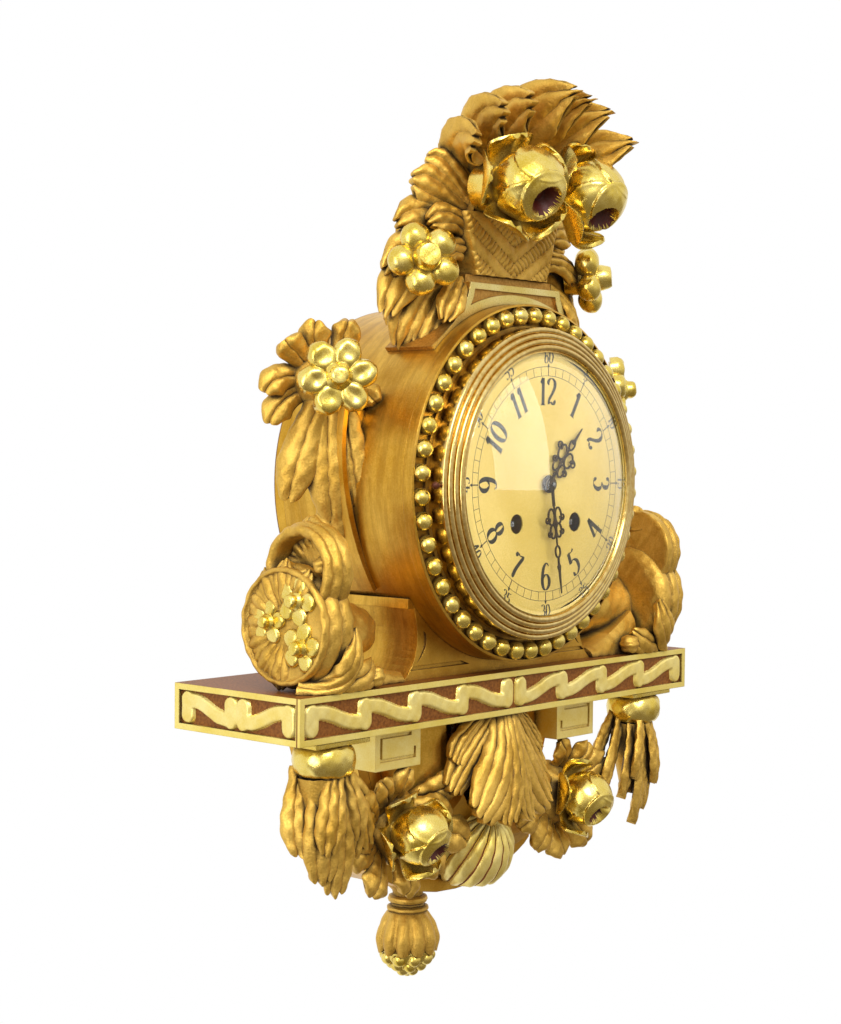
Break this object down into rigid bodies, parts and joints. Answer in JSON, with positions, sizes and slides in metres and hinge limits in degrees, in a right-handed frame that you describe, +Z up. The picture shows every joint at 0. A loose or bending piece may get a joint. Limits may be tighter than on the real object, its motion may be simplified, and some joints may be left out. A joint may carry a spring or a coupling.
{
  "type": "clock",
  "caption": "Carved and gilded wall clock with a round case on a shelf, a hinged glazed door, turning hands and a hidden pendulum movement.",
  "frame": {"origin": "where the dial's axis meets the wall plane", "axes": "+X to the viewer's right, +Y into the wall, +Z up"},
  "size_m": [0.38, 0.156, 0.5733],
  "materials": {
    "satin_gilding": "smooth water gilding over red bole, rubbed to a satin orange gold",
    "antique_gilding": "matte antique gilding with brown patina in the carving",
    "bright_gilding": "burnished bright yellow gilding",
    "shelf_gilding": "darker rubbed gilding with red-brown ground in the frieze",
    "back_wood": "plain oiled softwood",
    "polished_brass": "polished brass",
    "clock_brass": "brushed movement brass",
    "clock_steel": "turned steel",
    "champagne_dial": "silk champagne gold lacquer",
    "bronzed_hands": "dark bronze",
    "clear_glass": "clear domed glass",
    "pin_brown": "browned metal",
    "blued_gong": "blued spring steel on an iron block",
    "zinc_sheet": "dull zinc plating"
  },
  "bodies": {
    "case": {"drum_case": "satin_gilding", "front_ring": "satin_gilding", "beads": "bright_gilding", "back_board": "back_wood", "back_cover": "zinc_sheet", "cover_screws": "zinc_sheet", "hanger_plate": "zinc_sheet", "hanger_screws": "zinc_sheet", "base_block": "satin_gilding", "shelf": "shelf_gilding", "shelf_fret": "bright_gilding", "corbel": "satin_gilding", "belly": "satin_gilding", "fret_tabs": "bright_gilding", "ring_caps": "bright_gilding", "drapes": "antique_gilding", "garlands": "antique_gilding", "garland_roses": "bright_gilding", "centre_leaf": "antique_gilding", "shell_cup": "bright_gilding", "finial_cup": "antique_gilding", "finial_berry": "bright_gilding", "crest_block": "antique_gilding", "basket": "antique_gilding", "plume": "antique_gilding", "crest_leaves_left": "antique_gilding", "crest_leaves_right": "antique_gilding", "crest_flowers": "bright_gilding", "crest_roses": "bright_gilding", "wings": "satin_gilding", "side_flowers": "bright_gilding", "husks": "antique_gilding", "scroll_left": "antique_gilding", "scroll_right": "antique_gilding", "scroll_flowers": "bright_gilding", "dial_pan": "polished_brass", "dial": "champagne_dial", "front_plate": "clock_brass", "back_plate": "clock_brass", "gong": "blued_gong", "bezel_hinge": "polished_brass"},
    "door": {"bezel": "polished_brass", "glass": "clear_glass", "pull_pin": "pin_brown"},
    "centre": {"centre_arbor": "clock_steel", "minute_hand": "bronzed_hands"},
    "hour": {"hour_wheel": "clock_brass", "hour_hand": "bronzed_hands"},
    "motion": {"minute_wheel": "clock_brass"},
    "intermediate": {"intermediate_wheel": "clock_brass"},
    "third": {"third_wheel": "clock_brass"},
    "escape": {"escape_wheel": "clock_brass"},
    "anchor": {"pallet_anchor": "clock_steel"},
    "pendulum": {"pendulum": "clock_steel", "pendulum_bob": "polished_brass"},
    "going_barrel": {"time_barrel": "clock_brass"},
    "striking_barrel": {"strike_barrel": "clock_brass"},
    "going_arbor": {"time_arbor": "clock_steel"},
    "striking_arbor": {"strike_arbor": "clock_steel"},
    "hammer": {"strike_hammer": "clock_steel"}
  },
  "joints": [
    {"name": "door_swing", "type": "hinge", "parent": "case", "child": "door", "pos_m": [0.0974, -0.1206, 0], "axis": [0, 0, 1], "range_deg": [0, 100]},
    {"name": "minute_turn", "type": "hinge", "parent": "case", "child": "centre", "pos_m": [0, -0.0848, 0], "axis": [0, 1, 0], "continuous": true},
    {"name": "hour_turn", "type": "hinge", "parent": "case", "child": "hour", "pos_m": [0, -0.0848, 0], "axis": [0, 1, 0], "continuous": true},
    {"name": "motion_turn", "type": "hinge", "parent": "case", "child": "motion", "pos_m": [0.0072, -0.0848, 0.01247], "axis": [0, 1, 0], "continuous": true},
    {"name": "intermediate_turn", "type": "hinge", "parent": "case", "child": "intermediate", "pos_m": [0.01796, -0.0848, -0.00125], "axis": [0, 1, 0], "continuous": true},
    {"name": "third_turn", "type": "hinge", "parent": "case", "child": "third", "pos_m": [-0.00277, -0.0848, 0.01568], "axis": [0, 1, 0], "continuous": true},
    {"name": "escape_turn", "type": "hinge", "parent": "case", "child": "escape", "pos_m": [0, -0.0848, 0.02923], "axis": [0, 1, 0], "continuous": true},
    {"name": "anchor_swing", "type": "hinge", "parent": "case", "child": "anchor", "pos_m": [0, -0.0516, 0.04163], "axis": [0, 1, 0], "range_deg": [-4, 4]},
    {"name": "pendulum_swing", "type": "hinge", "parent": "case", "child": "pendulum", "pos_m": [0, -0.0516, 0.04163], "axis": [0, 1, 0], "range_deg": [-4, 4]},
    {"name": "going_barrel_turn", "type": "hinge", "parent": "case", "child": "going_barrel", "pos_m": [0.029, -0.0848, -0.0239], "axis": [0, 1, 0], "continuous": true},
    {"name": "striking_barrel_turn", "type": "hinge", "parent": "case", "child": "striking_barrel", "pos_m": [-0.029, -0.0848, -0.0239], "axis": [0, 1, 0], "continuous": true},
    {"name": "going_wind", "type": "hinge", "parent": "case", "child": "going_arbor", "pos_m": [0.029, -0.0848, -0.0239], "axis": [0, 1, 0], "continuous": true},
    {"name": "striking_wind", "type": "hinge", "parent": "case", "child": "striking_arbor", "pos_m": [-0.029, -0.0848, -0.0239], "axis": [0, 1, 0], "continuous": true},
    {"name": "hammer_swing", "type": "hinge", "parent": "case", "child": "hammer", "pos_m": [-0.042, -0.019, 0.014], "axis": [0, 1, 0], "range_deg": [0, 20]}
  ],
  "couplings": [
    {"joint": "hour_turn", "follows": "minute_turn", "ratio": 0.083333},
    {"joint": "motion_turn", "follows": "minute_turn", "ratio": -0.33333},
    {"joint": "intermediate_turn", "follows": "minute_turn", "ratio": -0.2},
    {"joint": "going_barrel_turn", "follows": "minute_turn", "ratio": 0.033333},
    {"joint": "third_turn", "follows": "minute_turn", "ratio": -12},
    {"joint": "escape_turn", "follows": "minute_turn", "ratio": 123.43},
    {"joint": "anchor_swing", "follows": "pendulum_swing", "ratio": 1}
  ]
}
